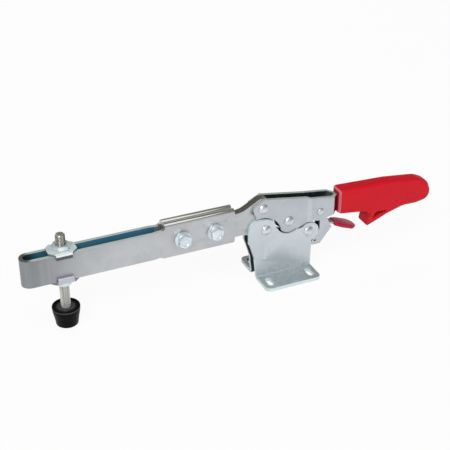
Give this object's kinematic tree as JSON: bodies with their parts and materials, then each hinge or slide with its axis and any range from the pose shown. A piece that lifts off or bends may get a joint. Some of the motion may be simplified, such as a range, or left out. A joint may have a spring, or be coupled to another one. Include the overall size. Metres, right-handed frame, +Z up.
{
  "type": "horizontal toggle clamp",
  "caption": "Horizontal toggle clamp, shut: flanged sheet-steel base, riveted linkage, long slotted holding arm with a rubber-capped screw spindle, and a red grip with a safety latch.",
  "frame": {"origin": "centre of the bolting face, on the underside of the base, midway between the four slots", "axes": "+X from the spindle end towards the grip, +Y across the clamp towards its rear side, +Z up from the bolting face"},
  "size_m": [0.3695, 0.056, 0.0828],
  "materials": {
    "zinc_sheet": "zinc plated sheet steel, clear passivated, slightly dull",
    "rivet_steel": "smooth domed zinc plated steel",
    "zinc_fastener": "zinc plated turned steel",
    "red_grip": "soft red vinyl with a satin gloss",
    "crimson_tab": "crimson dipped vinyl",
    "black_rubber": "matt black rubber"
  },
  "bodies": {
    "base": {"base_plate_front": "zinc_sheet", "base_plate_rear": "zinc_sheet", "arm_pivot_rivet": "rivet_steel", "base_link_rivet": "rivet_steel"},
    "arm": {"arm_plate_front": "zinc_sheet", "arm_plate_rear": "zinc_sheet", "extension_bar": "zinc_sheet", "extension_bolt_outer": "zinc_fastener", "extension_bolt_inner": "zinc_fastener", "extension_nut_outer": "zinc_fastener", "extension_nut_inner": "zinc_fastener"},
    "handle": {"handle_plate_front": "zinc_sheet", "handle_plate_rear": "zinc_sheet", "handle_grip": "red_grip", "handle_pivot_rivet": "rivet_steel", "link_pivot_rivet": "rivet_steel", "latch_rivet": "rivet_steel"},
    "link": {"link_plate_front": "zinc_sheet", "link_plate_rear": "zinc_sheet"},
    "latch": {"latch_hook": "zinc_sheet", "latch_tab": "crimson_tab"},
    "carriage": {"flanged_washer_upper": "zinc_sheet", "flanged_washer_lower": "zinc_sheet", "spindle_nut_upper": "zinc_fastener", "spindle_nut_lower": "zinc_fastener"},
    "spindle": {"spindle": "zinc_fastener", "spindle_cap": "black_rubber"}
  },
  "joints": [
    {"name": "arm_lift", "type": "hinge", "parent": "base", "child": "arm", "pos_m": [-0.0173, 0, 0.0472], "axis": [0, 1, 0], "range_deg": [0, 90]},
    {"name": "handle_swing", "type": "hinge", "parent": "arm", "child": "handle", "pos_m": [-0.0204, 0, 0.0679], "axis": [0, -1, 0], "range_deg": [0, 140.7]},
    {"name": "link_swing", "type": "hinge", "parent": "base", "child": "link", "pos_m": [0.0229, 0, 0.0368], "axis": [0, 1, 0], "range_deg": [0, 80.11]},
    {"name": "latch_turn", "type": "hinge", "parent": "handle", "child": "latch", "pos_m": [0.0333, 0, 0.054], "axis": [0, -1, 0], "range_deg": [0, 9], "stiffness_Nm_per_rad": 0.5, "springref_deg": -8.59},
    {"name": "carriage_slide", "type": "slide", "parent": "arm", "child": "carriage", "axis": [1, 0, 0], "range_m": [-0.017, 0.066]},
    {"name": "spindle_height", "type": "slide", "parent": "carriage", "child": "spindle", "axis": [0, 0, 1], "range_m": [-0.008, 0.02]}
  ],
  "couplings": [
    {"joint": "handle_swing", "follows": "arm_lift", "ratio": 1.5633},
    {"joint": "link_swing", "follows": "arm_lift", "ratio": 0.89}
  ]
}
